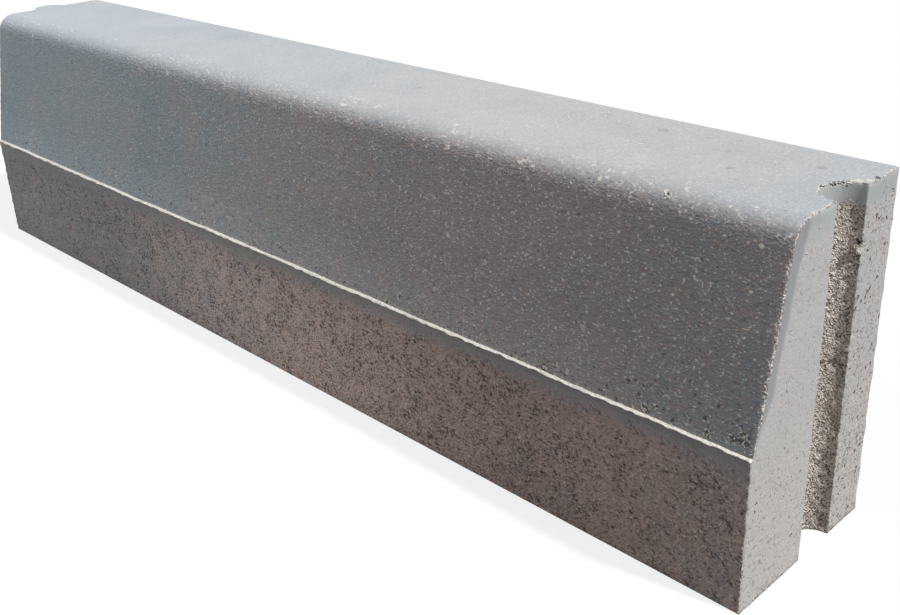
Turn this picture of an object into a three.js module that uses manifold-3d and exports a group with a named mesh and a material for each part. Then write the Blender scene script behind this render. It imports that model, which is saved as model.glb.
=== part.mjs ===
// A straight precast concrete road kerb, pressed in one piece and laid end to end in a row.
// Its section is drawn once and run along the length, and its plan, which carries the groove
// at one end and the tongue at the other, is drawn once and run up the height. The kerb is
// what the two have in common, just as the mould's side walls and end walls meet to form it.
//
// Millimetres, +Z up. X runs along the row, from the tongue end to the groove end. The face
// that the road sees looks towards -Y, and the back that the footway is laid against looks
// towards +Y. The origin is the middle of the bed, halfway between the two end faces.

import * as THREE from 'three';
import { mergeVertices } from 'three/addons/utils/BufferGeometryUtils.js';
import Module from 'manifold-3d';

// Driving dimensions
const LENGTH = 1000;            // laying length, from end face to end face
const HEIGHT = 250;
const BASE_WIDTH = 150;
const TOP_WIDTH = 120;          // between the back and the line where batter and top would meet
const FOOT_HEIGHT = 110;        // upright part of the face, most of it below the road surface
const SHOULDER_DEPTH = 2;       // step left where the press plate met the mould's side wall
const SHOULDER_RISE = 2;
const ARRIS_RADIUS = 20;        // rounded edge between batter and top
const GROOVE_RADIUS = 18.5;     // half-round groove up the whole height of one end
const TONGUE_RADIUS = 17;       // half-round tongue of the other end, with room for the joint
const JOINT_FROM_BACK = 59;     // tongue's and groove's middle, measured from the back
const ROUND_STEPS = 24;         // facets in a half-round

// Places that follow from them
const FACE_Y = -BASE_WIDTH / 2;
const BACK_Y = BASE_WIDTH / 2;
const TOP_FRONT_Y = BACK_Y - TOP_WIDTH;
const JOINT_Y = BACK_Y - JOINT_FROM_BACK;
const GROOVE_END_X = LENGTH / 2;
const TONGUE_END_X = -LENGTH / 2;

const concrete = new THREE.MeshStandardMaterial({
  name: 'concrete',
  color: 0x8f9190,
  roughness: 0.9,
  metalness: 0,
});

const wasm = await Module();
wasm.setup();

// Turns a closed three.js geometry into a manifold solid.
function toSolid(geometry) {
  geometry.deleteAttribute('normal');
  geometry.deleteAttribute('uv');
  const merged = mergeVertices(geometry, 1e-4);
  const mesh = new wasm.Mesh({
    numProp: 3,
    vertProperties: new Float32Array(merged.attributes.position.array),
    triVerts: new Uint32Array(merged.index.array),
  });
  return new wasm.Manifold(mesh);
}

// Turns a manifold solid back into a three.js geometry.
function toGeometry(solid) {
  const mesh = solid.getMesh();
  const geometry = new THREE.BufferGeometry();
  geometry.setAttribute('position', new THREE.BufferAttribute(mesh.vertProperties, 3));
  geometry.setIndex(new THREE.BufferAttribute(mesh.triVerts, 1));
  geometry.computeVertexNormals();
  return geometry;
}

// The kerb's section, seen from the groove end: across is Y and up is Z.
function sectionShape() {
  const batter = new THREE.Vector2(TOP_FRONT_Y - FACE_Y - SHOULDER_DEPTH, HEIGHT - FOOT_HEIGHT);
  const lean = Math.atan2(batter.x, batter.y);
  const shoulderY = FACE_Y + SHOULDER_DEPTH + SHOULDER_RISE * Math.tan(lean);

  // The arris is a fillet: its middle lies one radius in from the batter and from the top.
  const tangent = ARRIS_RADIUS * Math.tan((Math.PI / 2 - lean) / 2);
  const arrisY = TOP_FRONT_Y + tangent;
  const arrisZ = HEIGHT - ARRIS_RADIUS;

  const shape = new THREE.Shape();
  shape.moveTo(FACE_Y, 0);
  shape.lineTo(BACK_Y, 0);
  shape.lineTo(BACK_Y, HEIGHT);
  shape.lineTo(arrisY, HEIGHT);
  shape.absarc(arrisY, arrisZ, ARRIS_RADIUS, Math.PI / 2, Math.PI - lean, false);
  shape.lineTo(shoulderY, FOOT_HEIGHT + SHOULDER_RISE);
  shape.lineTo(FACE_Y, FOOT_HEIGHT);
  shape.closePath();
  return shape;
}

// The kerb's plan, seen from above, with the groove's bay at +X and the tongue's nose at -X.
function planShape() {
  const shape = new THREE.Shape();
  shape.moveTo(TONGUE_END_X, FACE_Y);
  shape.lineTo(GROOVE_END_X, FACE_Y);
  shape.lineTo(GROOVE_END_X, JOINT_Y - GROOVE_RADIUS);
  shape.absarc(GROOVE_END_X, JOINT_Y, GROOVE_RADIUS, -Math.PI / 2, Math.PI / 2, true);
  shape.lineTo(GROOVE_END_X, BACK_Y);
  shape.lineTo(TONGUE_END_X, BACK_Y);
  shape.lineTo(TONGUE_END_X, JOINT_Y + TONGUE_RADIUS);
  shape.absarc(TONGUE_END_X, JOINT_Y, TONGUE_RADIUS, Math.PI / 2, Math.PI * 1.5, false);
  shape.closePath();
  return shape;
}

// The section run along X, well past both ends.
function sectionSolid() {
  const run = LENGTH + 4 * TONGUE_RADIUS;
  const bar = new THREE.ExtrudeGeometry(sectionShape(), {
    depth: run,
    curveSegments: ROUND_STEPS,
    bevelEnabled: false,
  });
  // The shape's X, Y and depth become the kerb's Y, Z and X.
  const turn = new THREE.Matrix4().makeBasis(
    new THREE.Vector3(0, 1, 0),
    new THREE.Vector3(0, 0, 1),
    new THREE.Vector3(1, 0, 0),
  );
  bar.applyMatrix4(turn);
  bar.translate(-run / 2, 0, 0);
  return toSolid(bar);
}

// The plan run up Z, past the bed and the top.
function planSolid() {
  const column = new THREE.ExtrudeGeometry(planShape(), {
    depth: HEIGHT * 1.2,
    curveSegments: ROUND_STEPS,
    bevelEnabled: false,
  });
  column.translate(0, 0, -HEIGHT * 0.1);
  return toSolid(column);
}

function kerbStone() {
  const stone = sectionSolid().intersect(planSolid());
  const mesh = new THREE.Mesh(toGeometry(stone), concrete);
  mesh.name = 'kerb_stone';
  return mesh;
}

const group = new THREE.Group();
group.add(kerbStone());

export default group;
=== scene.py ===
"""A pressed concrete road kerb, one metre long, standing on its bed.

Metres, +Z up, +X from the tongue end to the groove end, and the road side towards -Y.
The kerb's skin is worked out in millimetres, and turned into metres when it becomes a mesh.
"""

import itertools
import math

import bpy
import numpy as np
from mathutils import Matrix, Vector


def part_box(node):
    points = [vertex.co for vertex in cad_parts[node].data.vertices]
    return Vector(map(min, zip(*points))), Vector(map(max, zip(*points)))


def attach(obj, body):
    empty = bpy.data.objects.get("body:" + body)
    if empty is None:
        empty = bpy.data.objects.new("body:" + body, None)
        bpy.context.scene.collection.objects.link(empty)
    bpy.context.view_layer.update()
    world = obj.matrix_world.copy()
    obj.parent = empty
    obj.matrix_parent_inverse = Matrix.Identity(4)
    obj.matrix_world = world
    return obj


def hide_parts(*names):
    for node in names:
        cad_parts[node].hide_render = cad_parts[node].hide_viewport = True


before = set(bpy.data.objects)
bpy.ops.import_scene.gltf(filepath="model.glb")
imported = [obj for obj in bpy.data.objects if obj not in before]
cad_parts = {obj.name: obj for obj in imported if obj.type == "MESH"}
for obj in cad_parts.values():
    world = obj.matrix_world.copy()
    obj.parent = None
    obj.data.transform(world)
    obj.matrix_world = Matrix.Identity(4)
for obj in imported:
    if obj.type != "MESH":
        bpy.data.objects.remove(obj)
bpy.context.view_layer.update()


# --- Camera -------------------------------------------------------------------------------------
# It stands at knee height off the corner between road side and groove end, and looks slantwise
# along the kerb and down on it. The shift is only what the framing needs.

CAMERA_PLACE = Vector((0.77068, -0.55942, 0.47168))
CAMERA_AIM = Vector((-0.65604, 0.63529, -0.40746))
CAMERA_ROLL = math.radians(-2.1994)
FOCAL_LENGTH = 44.24
SHIFT = (-0.01564, -0.03433)


def aimed(place, aim, roll):
    """A pose that looks along aim: right is level before the roll turns it about the aim."""
    ahead = aim.normalized()
    level = ahead.cross(Vector((0, 0, 1))).normalized()
    above = level.cross(ahead)
    right = level * math.cos(roll) + above * math.sin(roll)
    up = above * math.cos(roll) - level * math.sin(roll)
    turn = Matrix((right, up, -ahead)).transposed()
    return Matrix.Translation(place) @ turn.to_4x4()


lens = bpy.data.cameras.new("camera")
lens.sensor_width = 36
lens.lens = FOCAL_LENGTH
lens.shift_x, lens.shift_y = SHIFT
lens.clip_start = 0.01
camera = bpy.data.objects.new("camera", lens)
camera.matrix_world = aimed(CAMERA_PLACE, CAMERA_AIM, CAMERA_ROLL)
bpy.context.scene.collection.objects.link(camera)
bpy.context.scene.camera = camera
bpy.context.scene.view_settings.view_transform = "Standard"


# --- Floor, backdrop and lights -----------------------------------------------------------------
# A plain pale floor in a plain white room. The key light comes down past the groove end, almost
# in the plane of the batter, so that it lights the top, the end and the step but only grazes
# the batter. A weak soft lamp stands before the road side.

FLOOR_REACH = 9.0
FLOOR_SHOWN = 0.8           # how much of the floor's white is its own and never shaded
ROOM_LIGHT = 0.28
WHITE = (1.0, 1.0, 1.0, 1.0)


def linear(red, green, blue):
    """A colour written as 0 to 255 on a screen, as the linear light that a shader takes."""
    shown = np.array([red, green, blue]) / 255
    light = np.where(shown < 0.04045, shown / 12.92, ((shown + 0.055) / 1.055) ** 2.4)
    return (*light.tolist(), 1.0)


class Wire:
    """One output socket in a node tree. Sums on it are written as sums, and add Math nodes."""

    def __init__(self, tree, socket=None):
        self.tree = tree
        self.socket = socket

    def node(self, kind, settings=None, inputs=None, output=0):
        """Adds a node: its settings are set first, then its inputs by name or number."""
        made = self.tree.nodes.new(kind)
        for name, value in (settings or {}).items():
            setattr(made, name, value)
        for key, value in (inputs or {}).items():
            if isinstance(value, Wire):
                self.tree.links.new(value.socket, made.inputs[key])
            else:
                made.inputs[key].default_value = value
        return Wire(self.tree, made.outputs[output]) if len(made.outputs) else made

    def math(self, operation, *others):
        inputs = dict(enumerate((self, *others)))
        return self.node("ShaderNodeMath", {"operation": operation}, inputs)

    def __add__(self, other):
        return self.math("ADD", other)

    __radd__ = __add__

    def __mul__(self, other):
        return self.math("MULTIPLY", other)

    __rmul__ = __mul__

    def __sub__(self, other):
        return self.math("SUBTRACT", other)

    def __rsub__(self, other):
        return (self * -1.0) + other

    def __truediv__(self, other):
        return self.math("DIVIDE", other)

    def least(self, other):
        return self.math("MINIMUM", other)

    def most(self, other):
        return self.math("MAXIMUM", other)

    def over(self, low, high):
        """0 below low, 1 above high and a smooth rise between; high may be the lower one."""
        values = {"Value": self, "From Min": low, "From Max": high}
        return self.node("ShaderNodeMapRange", {"interpolation_type": "SMOOTHSTEP"}, values)

    def blend(self, first, second):
        """A colour: first where this wire is 0, second where it is 1."""
        values = {0: self, 6: first, 7: second}
        return self.node("ShaderNodeMix", {"data_type": "RGBA"}, values, 2)


def seen_ray(tree):
    """1 for camera, glossy and clear rays, which are to meet plain white, and 0 for others."""
    path = tree.nodes.new("ShaderNodeLightPath")
    rays = [Wire(tree, path.outputs[name]) for name in
            ("Is Camera Ray", "Is Glossy Ray", "Is Transmission Ray")]
    return rays[0].most(rays[1]).most(rays[2])


floor_mesh = bpy.data.meshes.new("floor")
floor_corners = [(FLOOR_REACH * x, FLOOR_REACH * y, 0) for x, y in
                 ((-1, -1), (1, -1), (1, 1), (-1, 1))]
floor_mesh.from_pydata(floor_corners, [], [(0, 1, 2, 3)])
floor = bpy.data.objects.new("floor", floor_mesh)
bpy.context.scene.collection.objects.link(floor)
floor_paint = bpy.data.materials.new("pale floor")
floor_paint.use_nodes = True
tree = floor_paint.node_tree
tree.nodes.clear()
start = Wire(tree)
seen = seen_ray(tree)
shaded = start.node("ShaderNodeBsdfDiffuse", None, {
    "Color": seen.blend(linear(120, 118, 115), linear(238, 238, 238))})
plain = start.node("ShaderNodeEmission", None, {"Color": WHITE, "Strength": 1.0})
both = start.node("ShaderNodeMixShader", None, {0: seen * FLOOR_SHOWN, 1: shaded, 2: plain})
start.node("ShaderNodeOutputMaterial", None, {0: both})
floor_mesh.materials.append(floor_paint)

room = bpy.data.worlds.new("room")
bpy.context.scene.world = room
room.use_nodes = True
tree = room.node_tree
tree.nodes.clear()
start = Wire(tree)
seen = seen_ray(tree)
dim = start.node("ShaderNodeBackground", None, {
    "Color": linear(236, 240, 246), "Strength": ROOM_LIGHT})
white = start.node("ShaderNodeBackground", None, {"Color": WHITE, "Strength": 1.0})
both = start.node("ShaderNodeMixShader", None, {0: seen, 1: dim, 2: white})
start.node("ShaderNodeOutputWorld", None, {0: both})


def lamp(name, kind, place, target, size, strength, colour):
    """A round lamp that shines from place to target; a sun's size is its angle in degrees."""
    light = bpy.data.lights.new(name, kind)
    if kind == "SUN":
        light.angle = math.radians(size)
    else:
        light.shape = "DISK"
        light.size = size
    light.energy = strength
    light.color = colour
    holder = bpy.data.objects.new(name, light)
    holder.matrix_world = aimed(Vector(place), Vector(target) - Vector(place), 0)
    bpy.context.scene.collection.objects.link(holder)


lamp("key light", "SUN", place=(2.009, 0.390, 2.193), target=(0, 0, 0), size=4.0,
     strength=3.8, colour=(1.0, 0.985, 0.96))
lamp("fill lamp", "AREA", place=(-1.7, -1.5, 2.0), target=(0, 0, 0.1), size=1.2,
     strength=29, colour=(0.95, 0.975, 1.0))


# --- The kerb stone: its form -------------------------------------------------------------------
# One piece of pressed concrete. The section is an upright foot, a small step with a thin lip of
# flash, a leaning batter and a rounded arris up to the flat top. One end has a half-round
# groove, the other its tongue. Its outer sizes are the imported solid's, here in millimetres.

MILLIMETRE = 0.001          # in metres

lowest, highest = np.round(np.array(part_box("kerb_stone")) / MILLIMETRE, 3).tolist()
LENGTH = 2 * highest[0]     # between the two end faces
HALF_BASE = highest[1]
HEIGHT = highest[2]
TOP_FRONT = -45.0           # where batter and top would meet, across the kerb
FOOT_HEIGHT = 110.0
STEP_DEPTH = 2.0            # the level step between foot and batter
STEP_RISE = 1.3
FLASH_DEPTH = 0.5           # how far the flash on the step's edge stands out from the foot
FLASH_HEIGHT = 0.7
ARRIS_RADIUS = 20.0
GROOVE_RADIUS = 18.5
TONGUE_RADIUS = -lowest[0] - LENGTH / 2
JOINT_ACROSS = 16.0         # middle of groove and tongue, across the kerb
LIP_RADIUS = 0.9            # along the groove's two upright lips
LEAN = math.atan2(TOP_FRONT + HALF_BASE - STEP_DEPTH, HEIGHT - FOOT_HEIGHT)
BATTER_FACING = np.array([-math.cos(LEAN), math.sin(LEAN)])
ARRIS_MIDDLE = TOP_FRONT + ARRIS_RADIUS * math.tan((math.pi / 2 - LEAN) / 2)


def batter_across(up, inset=0.0):
    """Where the batter's line, or one that far inside it, lies across the kerb at a height."""
    return -HALF_BASE + STEP_DEPTH + (up - FOOT_HEIGHT) * math.tan(LEAN) + inset / math.cos(LEAN)


def rounded_path(corners, radii, steps, turns):
    """A path of straight runs joined by arcs, as points and outward directions.

    Each corner is cut back on both sides by its radius times the tangent of half its turn, and
    an arc about the middle that lies one radius in from both runs joins the cuts. steps gives
    the spaces on each run, turns the spaces on each arc.
    """
    corners = np.array(corners, float)
    runs = np.diff(corners, axis=0)
    runs /= np.linalg.norm(runs, axis=1)[:, None]
    facing = np.stack([-runs[:, 1], runs[:, 0]], 1)
    cut = np.zeros(len(corners))
    bend = np.arctan2(
        runs[:-1, 0] * runs[1:, 1] - runs[:-1, 1] * runs[1:, 0], (runs[:-1] * runs[1:]).sum(1))
    cut[1:-1] = np.array(radii) * np.tan(np.abs(bend) / 2)
    points, outward = [], []
    for n, count in enumerate(steps):
        ends = corners[n] + runs[n] * cut[n], corners[n + 1] - runs[n] * cut[n + 1]
        share = np.linspace(0, 1, count + 1)[:, None]
        points.append(ends[0] + share * (ends[1] - ends[0]))
        outward.append(np.repeat(facing[n:n + 1], count + 1, 0))
        if n < len(turns):
            share = np.linspace(0, 1, turns[n] + 1)[1:-1, None]
            swing = bend[n] * share
            arc = np.concatenate([
                facing[n, 0] * np.cos(swing) - facing[n, 1] * np.sin(swing),
                facing[n, 0] * np.sin(swing) + facing[n, 1] * np.cos(swing)], 1)
            bulge = -np.sign(bend[n]) * radii[n]
            points.append(ends[1] + (arc - facing[n]) * bulge)
            outward.append(arc)
    return np.concatenate(points), np.concatenate(outward)


def joint_plan(start, stop, radius, reach, counts):
    """The line of an end face across the kerb, seen from above, with its half-round joint.

    Straight, then a small round at the lip, a half-circle about the joint's middle, the other
    lip, and straight again; counts gives the spaces on each. reach is -1 for a groove, which
    lies inside the end's plane, and 1 for a tongue. Returned are the places across, how far
    each stands out of the end's plane, and the outward direction (across, along).
    """
    before, lip, around, after = counts
    meet = math.asin(LIP_RADIUS / (radius + LIP_RADIUS))
    root = JOINT_ACROSS - (radius + LIP_RADIUS) * math.cos(meet)
    turn = np.linspace(0, math.pi / 2 - meet, lip + 1)[1:]
    sweep = np.linspace(meet, math.pi - meet, around + 1)[1:]
    first = np.linspace(root, start, before + 1)[::-1]
    last = np.linspace(2 * JOINT_ACROSS - root, stop, after + 1)[1:]
    lip_across = root + LIP_RADIUS * np.sin(turn)
    lip_depth = LIP_RADIUS * (1 - np.cos(turn))
    back_turn = np.append(turn[-2::-1], 0)
    across = np.concatenate([
        first, lip_across, JOINT_ACROSS - radius * np.cos(sweep),
        2 * JOINT_ACROSS - root - LIP_RADIUS * np.sin(back_turn), last])
    depth = np.concatenate([
        0 * first, lip_depth, radius * np.sin(sweep), LIP_RADIUS * (1 - np.cos(back_turn)),
        0 * last])
    sideways = np.concatenate([
        0 * first, np.sin(turn), np.cos(sweep), -np.sin(back_turn), 0 * last])
    along = np.concatenate([
        1 + 0 * first, np.cos(turn), np.sin(sweep), np.cos(back_turn), 1 + 0 * last])
    return across, reach * depth, -reach * sideways, along


def ease(share):
    """A smooth rise from 0 to 1: three times the square less twice the cube."""
    share = np.clip(share, 0, 1)
    return share * share * (3 - 2 * share)


def stations(start, stop, near, far, fine):
    """Places along the kerb: their spacing grows evenly from far at start to near at stop,
    and the last few millimetres before each end have the extra places listed in fine."""
    ratio = far / near
    count = round((stop - start) / (far - near) * math.log(ratio))
    share = np.linspace(0, 1, count + 1)
    even = stop - (stop - start) * (ratio ** (1 - share) - 1) / (ratio - 1)
    inner = even[(even > start + fine[-1] + far * 0.6) & (even < stop - fine[-1] - near * 0.6)]
    return np.concatenate([start + np.array(fine), inner, stop - np.array(fine)[::-1]])


FADE = 60.0                 # length over which rows bend round the groove or tongue


def skin(rows, outward, joint_rows, groove, tongue, places):
    """The section carried along the kerb: row r at place s.

    Rows of the top and bed bend, near each end, from even spacing to the joint's plan, by an
    ease over FADE. Returns points, the section's outward directions, the end's outward
    directions, and each point's distance from the end's edge.
    """
    across = np.repeat(rows[:, :1], 2, 1)
    stand = np.zeros((len(rows), 2))
    sideways = np.zeros((len(rows), 2))
    along = np.ones((len(rows), 2))
    for side, plan in enumerate((groove, tongue)):
        across[joint_rows, side], stand[joint_rows, side] = plan[0], plan[1]
        sideways[joint_rows, side], along[joint_rows, side] = plan[2], plan[3]
    to_groove = LENGTH / 2 - places
    to_tongue = LENGTH / 2 + places
    pull = np.stack([ease(1 - to_groove / FADE), ease(1 - to_tongue / FADE)])
    point = np.empty((len(rows), len(places), 3))
    point[..., 0] = places + stand[:, :1] * pull[0] - stand[:, 1:] * pull[1]
    point[..., 1] = rows[:, :1] + (across - rows[:, :1]) @ pull
    point[..., 2] = rows[:, 1:]
    facing = np.zeros_like(point)
    facing[..., 1:] = outward[:, None, :]
    nearer = np.where(places > 0, 0, 1)
    ending = np.zeros_like(point)
    ending[..., 0] = along[:, nearer] * np.where(places > 0, 1, -1)
    ending[..., 1] = sideways[:, nearer]
    gap = np.minimum(to_groove, to_tongue) * np.maximum(along[:, nearer], 0.25)
    return point, facing, ending, gap


def section_depth(across, up):
    """How deep a point of an end face lies inside the section's outline, and that edge's facing.

    It is the least of the distances to bed, back, top and front; the front is the foot's plane
    up to its height and the batter's above, and inside the arris's quarter it is the radius
    less the distance from the arris's middle.
    """
    from_batter = (across - batter_across(up)) * math.cos(LEAN)
    low = up < FOOT_HEIGHT
    front = np.where(low, across + HALF_BASE, from_batter)
    depth = np.stack([up, HALF_BASE - across, HEIGHT - up, front])
    facing = np.zeros(depth.shape + (2,))
    facing[0] = 0, -1
    facing[1] = 1, 0
    facing[2] = 0, 1
    facing[3] = np.where(low[..., None], (-1, 0), BATTER_FACING)
    away = np.stack([across - ARRIS_MIDDLE, up - (HEIGHT - ARRIS_RADIUS)], -1)
    size = np.maximum(np.linalg.norm(away, axis=-1), 1e-6)
    round_part = (away[..., 0] < 0) & (away @ np.array([math.sin(LEAN), math.cos(LEAN)]) > 0)
    depth[3] = np.where(round_part, ARRIS_RADIUS - size, depth[3])
    depth[2] = np.where(round_part, 1e3, depth[2])
    facing[3] = np.where(round_part[..., None], away / size[..., None], facing[3])
    pick = depth.argmin(0)
    least = np.take_along_axis(depth, pick[None], 0)[0]
    return least, np.take_along_axis(facing, pick[None, ..., None], 0)[0]


def evenly(line, count):
    """A line resampled at places that divide its length into that many equal parts."""
    run = np.append(0, np.cumsum(np.linalg.norm(np.diff(line, axis=0), axis=1)))
    even = np.linspace(0, run[-1], count + 1)
    return np.stack([np.interp(even, run, line[:, 0]), np.interp(even, run, line[:, 1])], 1)


CAP_INSET = 2.0             # from the section's outline to the end face's own grid
FRONT_RADII = (4.0, 4.0, ARRIS_RADIUS - CAP_INSET)
FRONT_STEPS, FRONT_TURNS = (60, 2, 60, 60), (4, 4, 16)


def end_face(side, radius, rows, columns, plan_counts):
    """The end face inside its rim, with the joint's groove or tongue standing out of it.

    Rows run level from a line just inside the front outline to the back. Before the joint they
    are ruled lines between that curved line and the joint's upright lip, bent near the top so
    that the last row follows arris and top; from the lip on they run straight to the back. The
    front line ends, and the last row starts, in the middle of the arris.
    """
    low, high = FOOT_HEIGHT - 3, FOOT_HEIGHT + 3
    inner_top = HEIGHT - CAP_INSET
    corners = [(-HALF_BASE + CAP_INSET, CAP_INSET), (-HALF_BASE + CAP_INSET, low),
               (batter_across(high, CAP_INSET), high),
               (batter_across(inner_top, CAP_INSET), inner_top), (HALF_BASE, inner_top)]
    line = rounded_path(corners, FRONT_RADII, FRONT_STEPS, FRONT_TURNS)[0]
    middle = len(line) - (FRONT_STEPS[-1] + 1) - FRONT_TURNS[-1] // 2
    front = evenly(line[:middle + 1], rows)
    rise = np.linspace(0, 1, rows + 1)
    up = CAP_INSET + rise * (HEIGHT - 2 * CAP_INSET)
    across, stand, sideways, along = joint_plan(
        0, HALF_BASE - CAP_INSET, radius, -side, (0, *plan_counts))
    lip = across[0]
    crown = line[middle:]
    crown = np.vstack([crown[crown[:, 0] < lip], (lip, inner_top)])
    crown = evenly(crown, columns)
    share = (crown[:, 0] - crown[0, 0]) / (lip - crown[0, 0])
    ruled = front[:, None] + share[None, :, None] * (
        np.stack([np.full_like(up, lip), up], 1)[:, None] - front[:, None])
    ruled += (rise ** 3)[:, None, None] * (crown - ruled[-1])[None]
    point = np.empty((rows + 1, columns + len(across), 3))
    point[:, :columns, 1:] = ruled[:, :columns]
    point[:, columns:, 1] = across
    point[:, columns:, 2] = up[:, None]
    point[..., 0] = side * LENGTH / 2
    point[:, columns:, 0] += side * stand
    ending = np.zeros_like(point)
    ending[..., 0] = side
    ending[:, columns:, 0] = side * along
    ending[:, columns:, 1] = sideways
    gap, edge = section_depth(point[..., 1], point[..., 2])
    facing = np.zeros_like(point)
    facing[..., 1:] = edge
    return point, ending, facing, gap


def mixed_number(cells, salt):
    """One repeatable number from 0 to 1 for each whole-numbered cell.

    The three indices times large odd numbers are combined, and high bits are folded down and
    multiplied in twice more. Each salt, a whole number, gives a pattern of its own.
    """
    index = cells.astype(np.int64).astype(np.uint32)
    mixed = index[..., 0] * np.uint32(0x8DA6B343)
    mixed ^= index[..., 1] * np.uint32(0xD8163841)
    mixed ^= index[..., 2] * np.uint32(0xCB1AB31F)
    mixed ^= np.uint32(salt * 0x9E3779B1 & 0xFFFFFFFF)
    mixed ^= mixed >> np.uint32(15)
    mixed *= np.uint32(0x2C1B3C6D)
    mixed ^= mixed >> np.uint32(12)
    mixed *= np.uint32(0x297A2D39)
    mixed ^= mixed >> np.uint32(15)
    return mixed / 2 ** 32


def swell(point, size, salt):
    """Smooth uneven ground from -1 to 1: the mixed numbers of the eight corners of each cube of
    that size, weighted by the point's eased place between them."""
    place = point / size
    cell = np.floor(place)
    share = ease(place - cell)
    total = 0
    for corner in itertools.product((0, 1), repeat=3):
        weight = np.where(corner, share, 1 - share).prod(-1)
        total = total + weight * mixed_number(cell + corner, salt)
    return total * 2 - 1


def nearest_grain(point, size, salt):
    """Distance to the nearest of a scatter of grains, one placed by chance in each cube of that
    size, and that grain's own number from 0 to 1."""
    place = point / size
    cell = np.floor(place)
    nearest = np.full(point.shape[:-1], 9.0)
    own = np.zeros_like(nearest)
    for shift in itertools.product((-1, 0, 1), repeat=3):
        home = cell + shift
        chance = np.stack([mixed_number(home, salt + n) for n in range(3)], -1)
        away = np.linalg.norm(home + chance - place, axis=-1)
        closer = away < nearest
        own = np.where(closer, mixed_number(home, salt + 3), own)
        nearest = np.where(closer, away, nearest)
    return nearest * size, own


def pitted(point, size, salt, radius, share):
    """Round-bottomed holes from 0 to 1 deep about a share of the grains, each with its own
    radius up to the one given."""
    away, own = nearest_grain(point, size, salt)
    reach = radius * (0.45 + 0.55 * np.clip(own / share, 0, 1))
    return np.where(own < share, ease(1 - away / reach) * reach / radius, 0)


def rounded_arris(point, own, other, gap, radius):
    """Moves points near an arris on to a quarter-round of that radius between two faces.

    A point on the face looking along `own`, `gap` from the arris, takes its place on the round
    by an angle that grows evenly from 0 at one radius away to 45 degrees at the arris itself.
    """
    turn = (math.pi / 4 * np.clip(1 - gap / radius, 0, 1))[..., None]
    radius, gap = radius[..., None], gap[..., None]
    sink = radius * (1 - np.cos(turn))
    slide = np.where(gap < radius, radius * (1 - np.sin(turn)) - gap, 0)
    return point - own * sink - other * slide, own * np.cos(turn) + other * np.sin(turn)


def on_road_side(along, up):
    """A place on the batter's line at that height or, above it, on the arris's quarter-round."""
    rise = up - (HEIGHT - ARRIS_RADIUS)
    if rise < ARRIS_RADIUS * math.sin(LEAN):
        return along, batter_across(up), up
    return along, ARRIS_MIDDLE - math.sqrt(ARRIS_RADIUS ** 2 - rise ** 2), up


def on_top(along, across):
    return along, across, HEIGHT


def on_groove_end(across, up):
    return LENGTH / 2, across, up


# Honeycombs, where the mix did not close, each with its radius.
HONEYCOMBS = np.array([
    (*on_road_side(492, 122), 7.0), (*on_road_side(468, 116), 4.5),
    (*on_road_side(424, 115), 4.5), (*on_road_side(430, 119), 3.0),
    (*on_road_side(484, 119), 4.0), (*on_road_side(340, 114), 4.5),
    (*on_road_side(182, 112.5), 4.0), (*on_road_side(10, 116), 5.0),
    (*on_road_side(-93, 130), 3.5), (*on_road_side(-299, 116), 4.5),
    (*on_top(487.5, 29), 5.5), (*on_top(484, 24), 4.5), (*on_top(481, 15), 3.4),
    (*on_top(485, 5.5), 3.2), (*on_groove_end(68.5, 235), 2.8),
    (*on_road_side(413, 244), 3.6), (*on_road_side(400, 248), 1.8),
    (*on_road_side(458, 242), 1.5),
])
# Single holes left by air, each with its radius and depth.
AIR_HOLES = np.array([
    (*on_road_side(430, 152.5), 1.0, 0.6), (*on_road_side(408, 128), 1.5, 1.2),
    (*on_road_side(465, 124.5), 1.5, 1.0), (*on_road_side(456, 135.5), 1.3, 0.9),
    (*on_road_side(451, 142.5), 1.0, 0.7), (*on_road_side(472.5, 134.5), 1.2, 0.8),
    (*on_road_side(443.5, 115), 1.3, 0.9), (*on_road_side(417, 122.5), 1.3, 0.8),
    (*on_road_side(419.5, 129), 1.1, 0.7),
    (*on_top(498.5, 49), 1.7, 1.6), (*on_groove_end(43.5, 205), 1.1, 0.9),
    (*on_groove_end(68, 237), 1.3, 0.9), (*on_groove_end(54.5, 194.5), 1.0, 0.8),
])
# Stones left standing at the groove's back lip: place, radius, height.
KNOBS = np.array([(498.0, 33.5, 207.0, 4.5, 2.6), (497.5, 34.2, 140.0, 3.5, 1.2)])
# Bites out of the groove's back lip: height, reach along the lip, depth.
BITES = np.array([(211.0, 3.2, 2.4), (203.5, 1.8, 2.2), (196.0, 2.2, 1.0), (150.0, 2.4, 1.1),
                  (131.0, 2.0, 1.4), (88.0, 2.6, 1.5), (61.0, 2.0, 1.0)])


def beads(point, size, salt, reach):
    """Grains side by side: 0 in the middle of each, and the square of the distance over reach
    round it, up to 1."""
    return np.clip(nearest_grain(point, size, salt)[0] / reach, 0, 1) ** 2


def in_spot(point, place, radius, rise=1.5):
    """1 in the middle of a round spot, eased to 0 at its radius; rise is how steeply."""
    return ease(rise - rise * np.linalg.norm(point - place, axis=-1) / radius)


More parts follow.
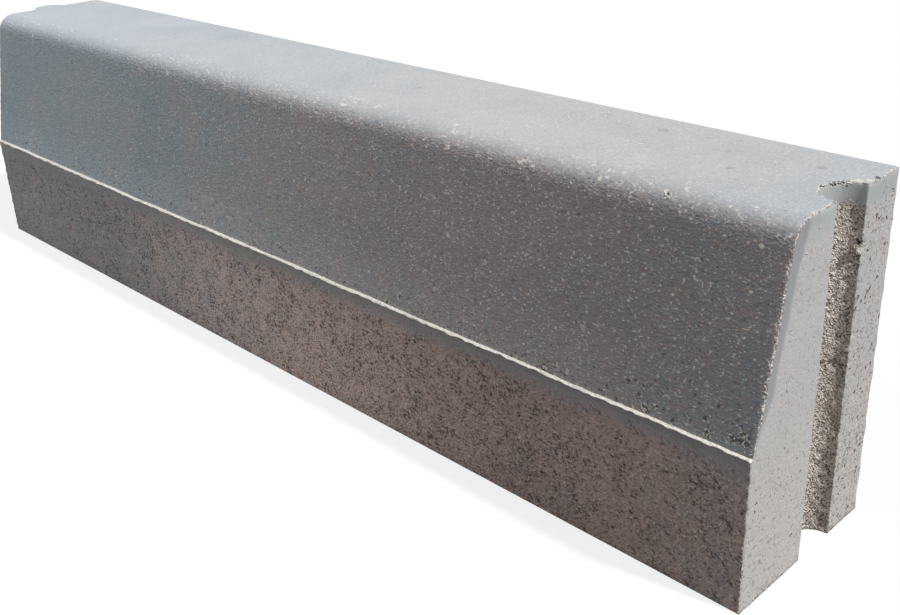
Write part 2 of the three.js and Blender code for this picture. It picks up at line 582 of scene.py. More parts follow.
def flat_relief(point, facing, inside):
    """Unevenness and open pores, in millimetres, of all the faces but the joint's.

    The foot is open-pored under a smooth band, and the back all over, though less. Batter and
    top are close, and the batter's few pores lie low, as most of the end faces' do.
    """
    up = point[..., 2]
    front = facing[..., 1] < -0.6
    foot = ease((FOOT_HEIGHT - 6 + 3 * swell(point, 25, 11) - up) / 10) * front
    back = 1.0 * (facing[..., 1] > 0.7)
    batter = front * (up > FOOT_HEIGHT + 1)
    close = np.maximum(facing[..., 2], batter)
    end = (np.abs(facing[..., 0]) > 0.7) * (1 - inside)
    uneven = 0.06 + 0.06 * swell(point, 60, 1)
    grit = 0.2 + 0.22 * swell(point, 9, 2) + 0.22 * swell(point, 4.4, 3)
    uneven += foot * grit + back * 0.7 * grit
    uneven += close * (0.04 + 0.04 * swell(point, 8, 7)) + end * (0.06 + 0.08 * swell(point, 5, 8))
    foot_pits = 1.5 * pitted(point, 8, 10, 3.0, 0.4) + 1.1 * pitted(point, 4.6, 20, 2.1, 0.45)
    batter_pits = 0.9 * pitted(point, 12, 30, 2.2, 0.3) * ease((FOOT_HEIGHT + 40 - up) / 35)
    end_pits = (0.5 + 0.5 * ease((70 - up) / 60)) * pitted(point, 8, 40, 2.0, 0.4)
    hollow = foot * foot_pits + back * 0.8 * foot_pits + batter * batter_pits + end * end_pits
    return uneven, hollow


def joint_relief(point, inside):
    """Unevenness and open pores of the groove or tongue: bare stones and sand, and pits between
    them, below a smooth top band."""
    bare = inside * ease((HEIGHT - 14 + 4 * swell(point, 9, 5) - point[..., 2]) / 5)
    aggregate = 0.5 * beads(point, 5.6, 50, 3.8) + 0.6 * beads(point, 3.3, 60, 2.2)
    return (bare * (aggregate + 0.2 * swell(point, 11, 6) - 0.15),
            bare * 1.3 * pitted(point, 7, 70, 2.0, 0.25))


def lip_wear(point):
    """What is torn off the joint's two lips, in millimetres: uneven wear on both, stronger on
    the back one, and the bites out of that one."""
    along, across, up = np.abs(point[..., 0]), point[..., 1], point[..., 2]
    to_lip = np.hypot(np.abs(across - JOINT_ACROSS) - GROOVE_RADIUS, LENGTH / 2 - along)
    near_end = along > LENGTH / 2 - GROOVE_RADIUS - 2.5
    at_lip = ease(1.2 - to_lip / 3.5) * near_end * ease((HEIGHT - 10 - up) / 10)
    behind = ease((across - JOINT_ACROSS) / 4)
    uneven = 0.3 + 0.5 * swell(point, 3.4, 12) + 0.4 * swell(point, 8, 13)
    worn = at_lip * (0.25 + 0.75 * behind) * np.maximum(uneven, 0)
    for height, reach, depth in BITES:
        worn += at_lip * behind * depth * ease(1.5 - 1.5 * np.abs(up - height) / reach)
    return worn


def relief(point, facing, inside, gap):
    """How far each point of the skin lies below the mould's own face, in millimetres, how much
    of that is open hole, and from 0 to 1 how far the mix failed to close there.

    To the relief of the faces and the joint comes a row of grains with gaps between them along
    the end arrises, and the honeycombs, air holes and standing stones. The bed stays flat.
    """
    uneven, hollow = flat_relief(point, facing, inside)
    joint_uneven, joint_hollow = joint_relief(point, inside)
    uneven += joint_uneven
    hollow += joint_hollow + lip_wear(point)
    row = 0.6 * beads(point, 3.2, 90, 1.9) + 0.2 * swell(point, 7, 9) ** 2
    hollow += ease(1 - gap / 2.8) * row
    comb = np.zeros_like(hollow)
    for *place, radius in HONEYCOMBS:
        comb = np.maximum(comb, in_spot(point, place, radius))
    uneven += comb * (0.3 + 1.3 * pitted(point, 3.3, 80, 2.1, 0.9))
    for *place, radius, depth in AIR_HOLES:
        hollow = np.maximum(hollow, in_spot(point, place, radius) * depth)
    sunk = np.maximum(uneven + hollow, 0)
    for *place, radius, stand in KNOBS:
        sunk -= stand * in_spot(point, place, radius, rise=1.6) * inside
    above_bed = 1.0 * (facing[..., 2] > -0.5)
    return sunk * above_bed, hollow * above_bed, comb


# The skin is a grid over foot, batter and top, a wider one over back and bed, and one on each
# end. The first grid reaches a little way round on to bed and back, and the second stops short
# of it there by a seam's width. Strips of triangles close the seams.

FOOT_ACROSS = -HALF_BASE + FLASH_DEPTH
FACE_ON_BED, FACE_ON_BACK = -68.0, HEIGHT - 6
SEAM = 4.0
BED_RADIUS, BACK_RADIUS = 1.4, 1.0
FLASH_RADII = (0.5, 0.2, 0.25, 0.4)  # under it, at its two edges, and inside the step
FACE_STEPS, FACE_TURNS = (1, 52, 2, 1, 3, 62, 50, 2), (4, 1, 1, 3, 2, 14, 4)
BACK_STEPS, BACK_TURNS = (30, 22), (4,)

face_rows, face_outward = rounded_path(
    [(FACE_ON_BED, 0), (FOOT_ACROSS, 0), (FOOT_ACROSS, FOOT_HEIGHT - 2.3 * FLASH_HEIGHT),
     (-HALF_BASE, FOOT_HEIGHT - FLASH_HEIGHT), (-HALF_BASE, FOOT_HEIGHT),
     (batter_across(FOOT_HEIGHT + STEP_RISE), FOOT_HEIGHT + STEP_RISE),
     (TOP_FRONT, HEIGHT), (HALF_BASE, HEIGHT), (HALF_BASE, FACE_ON_BACK)],
    (BED_RADIUS, *FLASH_RADII, ARRIS_RADIUS, BACK_RADIUS), FACE_STEPS, FACE_TURNS)
back_rows, back_outward = rounded_path(
    [(HALF_BASE, FACE_ON_BACK - SEAM), (HALF_BASE, 0), (FACE_ON_BED + SEAM, 0)], (BED_RADIUS,),
    BACK_STEPS, BACK_TURNS)


def run_starts(steps, turns):
    """The row at which each straight run of a rounded path starts."""
    return np.cumsum([0] + [run + turn for run, turn in zip(steps, turns)]).tolist()


face_runs = run_starts(FACE_STEPS, FACE_TURNS)
back_runs = run_starts(BACK_STEPS, BACK_TURNS)

# The rows in the middle of four rounded corners, where the end faces' own corners are joined.
foot_corner, arris_middle, top_corner = (
    face_runs[n + 1] - FACE_TURNS[n] // 2 for n in (0, 5, 6))
bed_corner = back_runs[1] - BACK_TURNS[0] // 2

top_rows = slice(face_runs[6], face_runs[6] + FACE_STEPS[6] + 1)
bed_rows = slice(back_runs[1], back_runs[1] + BACK_STEPS[1] + 1)
top_span = face_rows[top_rows, 0][[0, -1]]
bed_span = back_rows[bed_rows, 0][[-1, 0]]
face_places = stations(
    -LENGTH / 2, LENGTH / 2, near=1.7, far=5.8, fine=(0, 0.7, 1.5, 2.5, 3.8))
back_places = stations(-LENGTH / 2, LENGTH / 2, near=8.0, far=12.0, fine=(0, 1.5, 4, 9, 15))
joints = (GROOVE_RADIUS, -1), (TONGUE_RADIUS, 1)
face = skin(face_rows, face_outward, top_rows,
            *(joint_plan(*top_span, *joint, (9, 2, 25, 12)) for joint in joints), face_places)
back = skin(back_rows, back_outward, bed_rows,
            *([line[::-1] for line in joint_plan(*bed_span, *joint, (3, 1, 14, 3))]
              for joint in joints), back_places)
groove_end = end_face(1, GROOVE_RADIUS, rows=156, columns=38, plan_counts=(2, 40, 23))
tongue_end = end_face(-1, TONGUE_RADIUS, rows=80, columns=18, plan_counts=(1, 18, 10))


def roughened(point, own, other, gap, joint):
    """A patch of the skin with its end arrises worn and its faces roughened.

    The wear's radius wanders along the arris between a quarter of a millimetre and one and a
    half. Near the step the rows first swing up and down a little, as the flash did between
    plate and mould, and the edge of the flash is ragged. Returned are the points, held inside
    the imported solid's box, and what relief says of them.
    """
    by_step = np.exp(-np.abs(point[..., 2] - FOOT_HEIGHT) / 7)[..., None]
    line = point * (1, 0, 0)
    swing = 0.9 * swell(line, 190, 94) + 0.45 * swell(line, 31, 95) + 0.2 * swell(line, 5, 96)
    point = point + (0, 0, 1) * (by_step * swing[..., None])
    on_edge = (point[..., 1] < FOOT_ACROSS - 0.05) & (np.abs(point[..., 0]) < LENGTH / 2 - 1)
    torn = 0.6 * np.abs(swell(line, 6, 97)) + 0.5 * np.abs(swell(line, 2.6, 98))
    drip = 0.5 * swell(line, 3.4, 99) + 0.4 * swell(line, 9, 89) - 0.1
    drip = drip + 0.45 * ease((point[..., 0] - 100) / 250)
    point = point + on_edge[..., None] * np.stack([0 * torn, torn, drip * on_edge], -1)
    wear = 0.25 + 0.7 * np.abs(swell(point, 5.3, 91)) + 0.6 * np.abs(swell(point, 2.7, 92))
    moved, facing = rounded_arris(point, own, other, gap, wear)
    depth, hollow, comb = relief(point, facing, joint, gap)
    return np.clip(moved - facing * depth[..., None], lowest, highest), hollow, comb


def joint_part(point):
    """1 in the groove or on the tongue, 0 on the flat of the end face, by the way it stands
    clear of the end's plane."""
    return ease((np.abs(np.abs(point[..., 0]) - LENGTH / 2) - 0.4) / 1.2)


RIM_REACH = 30.0            # further in, the distance to an end arris no longer counts

patches, hollows, combs = zip(
    roughened(*face, 0 * face[3]), roughened(*back, 0 * back[3]),
    roughened(*groove_end, joint_part(groove_end[0])),
    roughened(*tongue_end, joint_part(tongue_end[0])))
sizes = [patch[..., 0].size for patch in patches]
firsts = np.cumsum([0] + sizes[:-1])
face_ids, back_ids, groove_ids, tongue_ids = (
    first + np.arange(size).reshape(patch.shape[:2])
    for first, size, patch in zip(firsts, sizes, patches))
vertices = np.concatenate([patch.reshape(-1, 3) for patch in patches])
rims = [np.minimum(patch[3] + np.zeros(patch[0].shape[:2]), RIM_REACH)
        for patch in (face, back, groove_end, tongue_end)]


def grid_faces(ids):
    """The four-sided faces of a grid, turned so that rows cross columns outwards."""
    return np.stack([ids[:-1, :-1], ids[:-1, 1:], ids[1:, 1:], ids[1:, :-1]], -1).reshape(-1, 4)


def way_along(line):
    """How far along a line of vertices each one lies, from 0 at its start to 1 at its end."""
    run = np.linalg.norm(np.diff(vertices[line], axis=0), axis=1)
    return np.append(0, np.cumsum(run)) / run.sum()


def strip(inner, outer):
    """Triangles between two lines of vertices that start and end side by side.

    Each stretch of a line is joined to that vertex of the other line which a walk along both
    has reached when the stretch ends. The outer line ends a hair later, so that its last
    stretch is the last triangle.
    """
    at_inner, at_outer = way_along(inner), way_along(outer)
    at_inner[-1], at_outer[-1] = 1, 1 + 1e-9
    reached = np.searchsorted(at_outer, at_inner[1:], "left") - 1
    low = np.stack([inner[:-1], inner[1:], outer[np.maximum(reached, 0)]], 1)
    reached = np.searchsorted(at_inner, at_outer[1:], "right") - 1
    high = np.stack([outer[1:], outer[:-1], inner[reached]], 1)
    return np.concatenate([low, high])


def rim_strips(ids, column):
    """The four strips between an end face's own border and the sides' border round it."""
    side, rear = face_ids[:, column], back_ids[:, column]
    front = strip(ids[:, 0], side[foot_corner:arris_middle + 1])
    top = strip(ids[-1], side[arris_middle:top_corner + 1])
    behind = strip(ids[::-1, -1], np.append(side[top_corner:], rear[:bed_corner + 1]))
    below = strip(ids[0, ::-1], np.append(rear[bed_corner:], side[:foot_corner + 1]))
    return np.concatenate([front, top, behind, below])


flash_rows = slice(face_runs[3], face_runs[5] + 1)
parts = [
    ("moulded", grid_faces(face_ids[:face_runs[3] + 1])),
    ("flash", grid_faces(face_ids[flash_rows])),
    ("facing", grid_faces(face_ids[face_runs[5]:top_corner + 1])),
    ("moulded", grid_faces(face_ids[top_corner:])),
    ("moulded", grid_faces(back_ids)),
    ("moulded", strip(face_ids[-1], back_ids[0])),
    ("moulded", strip(back_ids[-1], face_ids[0])),
    ("end", grid_faces(groove_ids)),
    ("end", rim_strips(groove_ids, -1)),
    ("end", grid_faces(tongue_ids)[:, ::-1]),
    ("end", rim_strips(tongue_ids, 0)[:, ::-1]),
]
FINISHES = ["moulded", "flash", "facing", "end"]  # as their materials are added, below

faces, finish = [], []
for name, part in parts:
    faces.extend(part.tolist())
    finish.extend([FINISHES.index(name)] * len(part))
kerb_mesh = bpy.data.meshes.new("kerb")
kerb_mesh.from_pydata((vertices * MILLIMETRE).tolist(), [], faces)
kerb_mesh.polygons.foreach_set("use_smooth", np.ones(len(faces), bool))
kerb_mesh.polygons.foreach_set("material_index", np.array(finish, np.int32))
for name, values in ("open", hollows), ("comb", combs), ("rim", rims):
    layer = kerb_mesh.attributes.new(name, "FLOAT", "POINT")
    layer.data.foreach_set("value", np.concatenate([one.ravel() for one in values]))
kerb_mesh.validate()
kerb = bpy.data.objects.new("kerb", kerb_mesh)
bpy.context.scene.collection.objects.link(kerb)
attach(kerb, "root")
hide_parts("kerb_stone")


# --- The kerb stone: its concrete ---------------------------------------------------------------
# Grey cement with sand and small stones. The press plate left batter, arris and top close and
# bluish, and the mould's walls drew foot and back open. The end walls left pale skins with brown
# pores, and the groove's former tore its hollow bare.

# The dark colours of the arris gaps, honeycomb cells and holes stand partly for painted shade in
# them.
PALE_CRUMB, RED_GAP_SHADE = linear(226, 217, 205), linear(122, 98, 90)
COMB_CELL_SHADE, OPEN_HOLE_SHADE, AIR_HOLE_SHADE = linear(34, 30, 28), linear(72, 56, 50), linear(36, 28, 30)


class Paint(Wire):
    """A new material on the kerb, with the place on the kerb in millimetres to start from.

    A slant draws every cloud and grain out along the kerb and downwards.
    """

    def __init__(self, name, slant=0.0):
        self.material = bpy.data.materials.new(name)
        self.material.use_nodes = True
        super().__init__(self.material.node_tree)
        self.tree.nodes.clear()
        object_place = self.node("ShaderNodeTexCoord", None, None, "Object")
        self.place = self.vector("SCALE", object_place, {"Scale": 1 / MILLIMETRE})
        self.along, self.across, self.up = (
            self.node("ShaderNodeSeparateXYZ", None, {0: self.place}, n) for n in range(3))
        self.open, self.comb, self.rim = (
            self.node("ShaderNodeAttribute", {"attribute_name": name}, None, "Fac")
            for name in ("open", "comb", "rim"))
        self.drawn = self.node("ShaderNodeCombineXYZ", None, {
            0: self.along + self.up * slant, 1: self.across, 2: self.up})
        sway = self.node("ShaderNodeTexNoise", None, {
            "Vector": self.drawn, "Scale": 0.6, "Detail": 0.0}, "Color")
        self.bent = self.vector("MULTIPLY_ADD", sway, {1: (3.0, 3.0, 3.0), 2: self.drawn})

    def vector(self, operation, first, others, output=0):
        return self.node("ShaderNodeVectorMath", {"operation": operation},
                         {0: first, **others}, output)

    def moved(self, place, salt):
        """A place moved by a step of its own for each salt."""
        return self.vector("ADD", place, {1: (31.7 * salt, 17.3 * salt, 11.9 * salt)})

    def cloud(self, size, salt, detail=2.0, roughness=0.5, stretch=(1.0, 1.0, 1.0)):
        """Uneven cover from about -1 to 1 whose patches are about that many millimetres."""
        place = self.vector("MULTIPLY", self.moved(self.drawn, salt), {1: stretch})
        values = {"Vector": place, "Scale": 1 / size, "Detail": detail, "Roughness": roughness}
        return self.node("ShaderNodeTexNoise", None, values) * 4.0 - 2.0

    def grains(self, size, salt):
        """Distance in millimetres to the nearest grain of a scatter, and two numbers from 0 to
        1 that are the grain's own: its kind and its size."""
        values = {"Vector": self.moved(self.bent, salt), "Scale": 1 / size}
        cells = self.node("ShaderNodeTexVoronoi", None, values, "Distance")
        own = Wire(self.tree, cells.socket.node.outputs["Color"])
        return (cells * size, *(self.node("ShaderNodeSeparateColor", None, {0: own}, n)
                                for n in range(2)))

    def some(self, grains, radius, low, high, soft=0.45):
        """1 inside those grains whose kind lies from low to high, each of them with a radius up
        to the one given; soft is the share of it over which the edge fades."""
        distance, kind, own = grains
        share = distance / ((own * 0.6 + 0.4) * radius)
        chosen = kind.math("COMPARE", (low + high) / 2, (high - low) / 2)
        return share.over(1.15, 1.15 - soft) * chosen

    def spots(self, places):
        """1 inside any of the placed round spots: place along, across and up, and radius."""
        nearest = None
        for *place, radius in places:
            away = self.vector("DISTANCE", self.place, {1: tuple(place)}, "Value") / radius
            nearest = away if nearest is None else nearest.least(away)
        return (nearest + self.cloud(2.2, 40, 1.0) * 0.22).over(1.0, 0.55)

    def bright(self, colour, amount):
        """A colour made lighter or darker by a wire, where 1 leaves it as it is."""
        colour = colour if isinstance(colour, Wire) else colour[:3]
        return self.vector("SCALE", colour, {"Scale": amount})

    def coated(self, colour, *coats):
        """A colour with others laid over it in turn: for each, how far it covers, and itself."""
        for cover, coat in coats:
            colour = cover.blend(colour, coat)
        return colour

    def crumbled(self, colour, height):
        """Colour and height with what every face of the kerb has: pale crumbs and reddish gaps
        along the end arrises, the honeycombs' dark cells between pale grains, and open holes.

        The end arrises are worn all the way round but for the foot's upper half. The reddish gaps,
        the honeycombs' dark cells and the open holes are partly painted shade, an open hole the
        darker the deeper it is. An air hole is as wide here as the hypotenuse of its radius and
        depth, so that the painted shade darkens its wall as well.
        """
        crumb, wander = self.cloud(2.0, 32, 1.0, 0.6) * 0.9, self.cloud(6, 33, 0.0) * 0.8
        worn = (self.rim + wander * 1.4).over(1.9, 0.8)
        worn = worn * self.up.over(48, 34).most(self.up.over(104, 112))
        zone = (self.comb + wander * 0.3 + crumb * 0.2).over(0.3, 0.55)
        pale, gap = crumb.over(0.0, 0.4), crumb.over(-0.02, -0.35)
        holes = [(*hole[:3], math.hypot(*hole[3:])) for hole in AIR_HOLES.tolist()]
        colour = self.coated(
            colour, (worn.most(zone) * pale * 0.8, PALE_CRUMB), (worn * gap * 0.55, RED_GAP_SHADE),
            (zone * gap * 0.95, COMB_CELL_SHADE), (self.open.over(0.6, 1.8) * 0.6, OPEN_HOLE_SHADE),
            (self.spots(holes) * 0.85, AIR_HOLE_SHADE))
        return colour, height + (worn * 0.45 + zone * 0.9) * crumb

    def finish(self, colour, height, roughness, gloss):
        """Joins colour, and height in millimetres, to a matt stone shader on the kerb's mesh."""
        normal = self.node("ShaderNodeBump", None, {
            "Strength": 1.0, "Distance": MILLIMETRE, "Height": height})
        shader = self.node("ShaderNodeBsdfPrincipled", None, {
            "Base Color": colour, "Roughness": roughness, "Specular IOR Level": gloss,
            "Normal": normal})
        self.node("ShaderNodeOutputMaterial", None, {0: shader})
        kerb_mesh.materials.append(self.material)


# Foot, back and bed: brownish and torn, with short drawn pores, under a smooth band that lies
# below the step on the foot and below the top on the back. The tearing is harshest from the
# foot's middle on and eases near the groove end; the paste is greyest at the tongue end. The
# pale flakes on the torn relief are partly painted highlight, and the dark pores and small holes
# partly painted shade.

BACK_LIKE = 250.0           # the back looks everywhere as the foot does this far along
GREY_PASTE, BROWN_PASTE, OCHRE = linear(154, 154, 155), linear(177, 155, 147), linear(168, 146, 118)
FLAKE_HIGHLIGHT, TORN_PORE_SHADE, SMALL_HOLE_SHADE = linear(218, 205, 196), linear(70, 50, 42), linear(66, 48, 40)
SCRATCHED = linear(212, 212, 208)
SCRATCH_ALONG, SCRATCH_UP, SCRATCH_FALL = -208.0, 44.0, 0.38
SCUFFS = [(-428.0, FOOT_ACROSS, 55.0, 9.0), (-460.0, FOOT_ACROSS, 53.0, 8.0)]

mould = Paint("moulded concrete", slant=0.35)
cluster = mould.cloud(14, 1, 1.0, 0.6) * 0.85
wide = mould.cloud(50, 8, 2.0, 0.6)
front = mould.across.over(0, -60)
opened = (mould.up + cluster * 5.0).over(107, 90)
opened = opened.most((mould.up + cluster * 5.0).over(240, 228) * (1 - front))
along = (mould.along - BACK_LIKE) * front + BACK_LIKE
harsh = along.over(-420, 0) * (1 - along.over(260, 460) * 0.6)
torn = mould.cloud(2.1, 11, 2.0, 0.7, (0.8, 1.0, 1.0)) * 1.8
rag = mould.cloud(9, 14, 2.0, 0.7).over(-0.5, 0.7)
ragged = opened * (rag * 0.9 + 0.6)
pores = (torn - rag * 0.7 - harsh * 0.2).over(-1.35, -1.8) * opened
holes = mould.some(mould.grains(7.5, 5), 1.5, 0.0, 0.25, 0.8) * opened

# How light it is: by its own relief, its lighter tops and darker hollows partly painted light and
# shade, by the place along and up the foot, and by a painted shade in the band under the step
# above.
painted_shade_under_step = mould.up.over(86, 107) + (mould.up + torn * 0.6).over(105.5, 107.5)
tone = wide * 0.05 + torn * (ragged * (harsh * 0.13 + 0.07) + 0.03) + cluster * 0.02 + 0.98
tone = tone - along.over(200, 420) * (opened * 0.08)
tone = tone + along.over(330, 100) * (mould.up.over(100, 10) * 0.14 + 0.07)
tone = tone - painted_shade_under_step * front * 0.14
tone = tone * ((along.over(-300, -20) * 0.55 - along.over(60, 330) * 0.37 - 0.06) * opened + 1.0)
warm = along.over(-420, 220) * along.over(620, 400) * (opened * 0.75 + 0.25)
warm = warm + (cluster * 0.3 + wide * 0.15)
ochre = mould.cloud(4.0, 12, 1.0, 0.7).over(0.15, 1.0) * opened * 0.4
flakes_and_highlights = torn.over(0.7, 1.1) * (opened * (rag * 0.4 + 0.3))

# One scratch that falls towards the groove end, and two scuffs near the tongue end.
beside = mould.along - SCRATCH_ALONG
scratch = (mould.up + beside * SCRATCH_FALL - SCRATCH_UP).math("ABSOLUTE").over(0.8, 0.3)
scratch = scratch * beside.math("ABSOLUTE").over(12, 9) * mould.across.over(0, -1)
scuff = mould.spots(SCUFFS) * torn.over(-0.4, 0.5)

colour = mould.coated(warm.blend(GREY_PASTE, BROWN_PASTE), (ochre, OCHRE))
colour = mould.coated(
    mould.bright(colour, tone), (flakes_and_highlights, FLAKE_HIGHLIGHT), (pores * 0.6, TORN_PORE_SHADE),
    (holes * 0.65, SMALL_HOLE_SHADE), (scratch.most(scuff * 0.5) * 0.75, SCRATCHED))
height = torn * (ragged * (harsh * 0.32 + 0.28) + 0.03) - pores * 0.7
mould.finish(*mould.crumbled(colour, height), 0.92, 0.15)


# The flash along the step: a pale crust of cement paste, with darker gaps between its lumps, their
# darkness partly painted shade.

CRUST, CRUST_GAP_SHADE = linear(222, 217, 208), linear(140, 128, 118)

crust = Paint("cement flash")
lumps = crust.cloud(2.2, 1, 3.0, 0.6)
colour = crust.coated(
    crust.bright(CRUST, lumps * 0.08 + 1.0), (lumps.over(-0.6, -1.1) * 0.5, CRUST_GAP_SHADE))
crust.finish(colour, lumps * 0.3, 0.9, 0.2)


# Batter, arris and top: close and bluish grey. The press plate wiped the top and the arris
# over with cement milk, and on the batter the sand shows.

COOL_BATTER, WARM_BATTER = linear(112, 124, 130), linear(128, 119, 118)
COOL_MILK, WARM_MILK, SMUDGE = linear(160, 167, 173), linear(169, 170, 172), linear(116, 115, 112)
PALE_SAND_AND_GLINTS, SAND_GAP_SHADE, POCK_SHADE = linear(216, 210, 201), linear(74, 66, 64), linear(56, 48, 50)
BEIGE_GRAIN, WHITE_GRAIN = linear(214, 206, 190), linear(230, 230, 228)
SMALL_STONE, STONE, DEEP_HOLE_SHADE = linear(206, 200, 182), linear(214, 208, 194), linear(40, 36, 34)
STONES = [(*on_road_side(410.5, 246), 1.9), (*on_road_side(481, 232), 2.0),
          (*on_road_side(479.5, 205), 1.5), (*on_road_side(362, 244), 1.9),
          (*on_road_side(454.5, 246.5), 1.3), (*on_road_side(429.5, 189.5), 1.4),
          (*on_road_side(239, 178.5), 1.8), (*on_road_side(352.5, 195), 1.3),
          (*on_top(492.5, 36), 3.2), (*on_top(497, 40.5), 2.2)]
SMUDGES = [(*on_top(343.5, 49), 5.0), (*on_top(403.5, 36), 3.0), (*on_top(422.5, 8.5), 3.6),
           (*on_top(465, 43), 4.0), (*on_top(290.5, 57), 3.0), (*on_top(123, 25.5), 4.0)]

press = Paint("pressed facing")
bare = press.up.over(249.5, 238)
edge = press.up.over(222, 240) * press.across.over(-18, -32)
low = press.up.over(150, 114)
shown = press.along.over(-480, 60) * 0.6 + 0.4
fine = press.cloud(1.6, 2, 1.0, 0.7, (0.7, 1.0, 1.0)) * 1.6
rough = press.cloud(6, 10, 1.0, 0.7) * 0.85
chips = press.cloud(2.6, 13, 1.0, 0.8, (0.5, 1.0, 1.0)) * 1.6
slow = press.cloud(60, 9, 2.0, 0.55)
hue = press.cloud(3.4, 12, 1.0, 0.7) * 0.85

# Sand and stones: each kind takes its share of one scatter, and more of it along the arris or
# low on the batter. Crumbs gather in patches there.
marks = press.grains(2.9, 3)
beige = press.some(marks, 0.85, 0.0, edge * 0.05 + 0.08) * shown
white_grains = press.some(marks, edge * 0.2 + 0.7, 0.43, edge * 0.06 + 0.445) * shown
# Pocks and holes: dark pits, their darkness partly painted shade.
pocks = press.some(marks, low * 0.4 + 1.0, 0.7, low * 0.12 + 0.84, 0.6)
stones = press.some(marks, 1.7, 0.5, 0.507) * shown
holes = press.some(marks, 1.7, 0.6, 0.607, 0.8) * low
crumbs = (rough * 0.9 + slow * 0.5 + edge * 0.6 + low * 0.4).over(0.8, 1.2)
# Pale specks: partly pale sand, partly painted glints on grains that would catch the grazing light.
# Dark specks: partly gaps in the sand, partly painted shade beside the grains and crumbs.
light = (fine + rough * 0.4).over(0.8, 1.3) * (bare * 0.3 + 0.35) * shown
light = light.most(crumbs * chips.over(0.35, 0.8) * 0.75)
dark = (chips + rough * 0.3).over(-0.95, -1.35) * (bare * 0.35 + 0.15) * shown
dark = dark.most(crumbs * chips.over(-0.7, -1.2) * (shown * 0.6 - 0.1))

# How light the batter is: a painted sheen makes it lighter low down and towards the tongue end.
painted_sheen = press.up.over(158, 118) * (press.along.over(480, 200) * 0.16 + 0.1)
painted_sheen = painted_sheen + press.along.over(480, 300) * 0.06
painted_sheen = painted_sheen + press.along.over(300, -60) * 0.27 + press.along.over(-60, -450) * 0.06 - 0.05
tone = slow * 0.06 + rough * (bare * 0.07 + 0.02) + fine * 0.07 + 1.0
tone = tone + painted_sheen * bare
warm = press.along.over(-400, 330) * (1 - press.along.over(380, 500) * 0.4)
warm = warm + slow * 0.3 + hue * (bare * 0.6)

colour = bare.blend(warm.blend(COOL_MILK, WARM_MILK), warm.blend(COOL_BATTER, WARM_BATTER))
colour = press.coated(
    press.bright(colour, tone), (light, PALE_SAND_AND_GLINTS), (dark, SAND_GAP_SHADE),
    (beige * (bare * 0.5 + 0.2), BEIGE_GRAIN), (white_grains * (0.8 - bare * 0.3), WHITE_GRAIN),
    (stones * (bare * 0.4 + 0.15), SMALL_STONE), (pocks * (bare * 0.5 + low * 0.2 + 0.3), POCK_SHADE),
    (press.spots(SMUDGES) * 0.35, SMUDGE), (press.spots(STONES) * 0.75, STONE),
    (holes * 0.85, DEEP_HOLE_SHADE))
height = fine * (bare * 0.1 + 0.02) + chips * (bare * 0.1 + 0.01)
press.finish(*press.crumbled(colour, height), 0.62, 0.5)


# Ends: a pale skin with brown pores, a bluish band where the facing mix shows along batter and
# top, and the torn hollow of the groove, with cream stones in its back lip.

END_SKIN, LOW_END_SKIN = linear(176, 175, 175), linear(178, 175, 172)
TOP_MIX, BATTER_MIX = linear(163, 169, 170), linear(141, 144, 149)
SKIN_GRAIN, SKIN_PORE, WIDE_PORE = linear(222, 219, 215), linear(116, 86, 78), linear(104, 76, 68)
TORN_STONE, TORN_CEMENT = linear(203, 192, 184), linear(198, 193, 186)
TORN_GRAIN_AND_HIGHLIGHT, CAVITY_SHADE, LIP_STONE = linear(230, 221, 210), linear(88, 64, 58), linear(192, 188, 176)
LIP_STONES = [(499.0, 33.5, 208.0, 3.6), (499.0, 37.5, 205.0, 2.6), (499.5, 36.0, 202.0, 2.0)]

end = Paint("end skin and torn groove", slant=0.25)
edge = end.cloud(18, 2)
slow, rubble = end.cloud(40, 6, 2.0, 0.6), end.cloud(3.0, 10, 2.0, 0.8) * 1.8
grit = end.cloud(1.5, 14, 1.0, 0.8) * 1.8
streaks = end.cloud(1.1, 13, 1.0, 0.5, (1.0, 1.0, 0.06))
wide = end.grains(6.0, 5)

# Where the hollow is torn, where the facing mix shows, and where the rest is skin. The mix lies
# within a few millimetres of the batter's line, more in the middle and under the arris.
stand = (end.along.math("ABSOLUTE") - LENGTH / 2).math("ABSOLUTE")
torn = stand.over(0.5, 1.5) * (end.up + edge * 3.0 + rubble).over(239, 233)
flat = 1 - torn
from_batter = end.across - (end.up - FOOT_HEIGHT) * math.tan(LEAN) + (HALF_BASE - STEP_DEPTH)
width = end.up.over(112, 150) * 9.5 + end.up.over(205, 240) * 4.0
facing_band = (from_batter * math.cos(LEAN) + edge * 1.2 - width).over(2.6, -2.6)
facing_band = facing_band * end.up.over(112, 124)
top_band = (end.up + edge * 2.0).over(229, 240)
end_skin = flat * (1 - top_band) * (1 - facing_band)

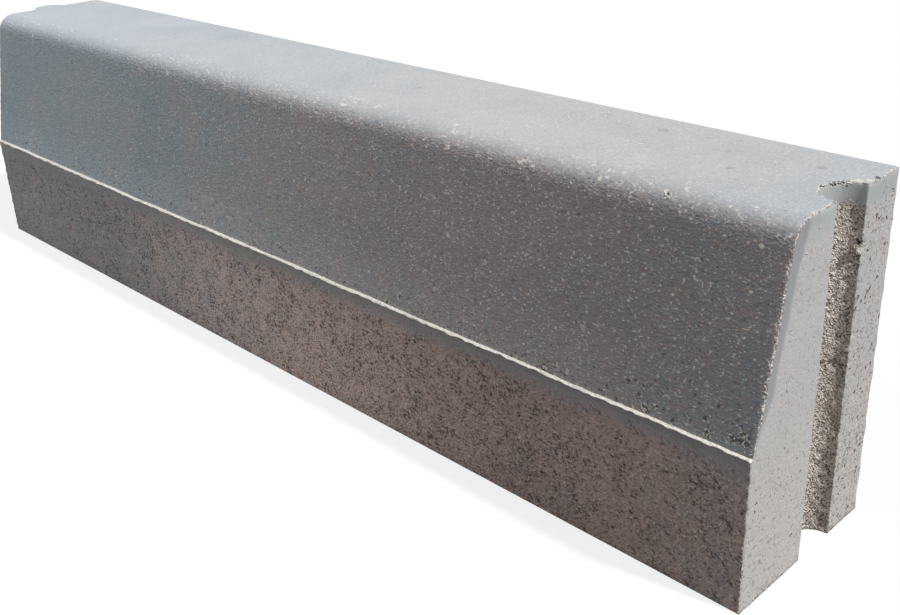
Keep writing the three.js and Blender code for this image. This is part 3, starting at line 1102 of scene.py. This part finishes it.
# Pores in the skin, more of them low down and behind the groove, and the hollow's cavities, whose
# darkness is partly painted shade.
behind = end.across.over(30, 38)
low_skin = end.up.over(150, 20)
sandy = behind * 0.3 + low_skin * 0.35 + slow.over(0.5, -0.6) * 0.2
pores = (rubble - behind * 0.15 - sandy * 0.15).over(-0.85, -1.15) * end_skin * (sandy * 0.7 + 0.25)
wide_pores = end.some(wide, behind * 0.5 + 1.4, 0.0, behind * 0.4 + sandy * 0.2 + 0.1, 0.6) * flat
pits = (grit + edge * 0.2).over(-0.5, -1.0) * torn
deep = end.some(wide, 1.6, 0.0, 0.3, 0.7) * torn
crack = (end.up - end.across * 0.12 - edge * 2.5 - rubble - 125.0).math("ABSOLUTE")
crack = (crack + grit * 0.9).over(1.7, 0.8) * torn * end.along.over(0, 100)

# The hollow is lighter on the tops of its relief and darker between them, with its palest grains on
# the tops: partly painted light and shade.
tone = slow * 0.03 + rubble * (end_skin * 0.02 + torn * 0.07)
tone = tone + grit * (end_skin * (behind * 0.03 + 0.03) + torn * 0.24)
tone = tone + streaks * (top_band * 0.05) - behind * 0.04 + end.up.over(120, 10) * 0.03 + 1.02
tone = tone - end.up.over(240, 244) * end.across.over(-8, -24) * 0.09
bare_stone = slow.over(-0.8, 0.8).blend(TORN_STONE, TORN_CEMENT)
colour = end.coated(
    end.bright(low_skin.blend(END_SKIN, LOW_END_SKIN), tone),
    (top_band * 0.8, end.bright(TOP_MIX, tone)),
    (facing_band * 0.9, end.bright(BATTER_MIX, tone)),
    (grit.over(0.8, 1.3) * end_skin * (sandy * 0.6 + 0.15), SKIN_GRAIN),
    (pores * 0.85, SKIN_PORE), (wide_pores * 0.85, WIDE_PORE),
    (torn, end.bright(bare_stone, tone)), (grit.over(0.6, 1.1) * torn * 0.35, TORN_GRAIN_AND_HIGHLIGHT),
    (pits.most(deep).most(crack) * 0.75, CAVITY_SHADE),
    (end.spots(LIP_STONES), end.bright(LIP_STONE, tone)))
height = rubble * (torn * 0.3 + end_skin * 0.04) + grit * (torn * 0.25 + end_skin * 0.03)
height = height - pores * 0.4 - wide_pores * 0.7 - pits * 0.3 - deep * 0.9 - crack
end.finish(*end.crumbled(colour, height), 0.9, 0.25)
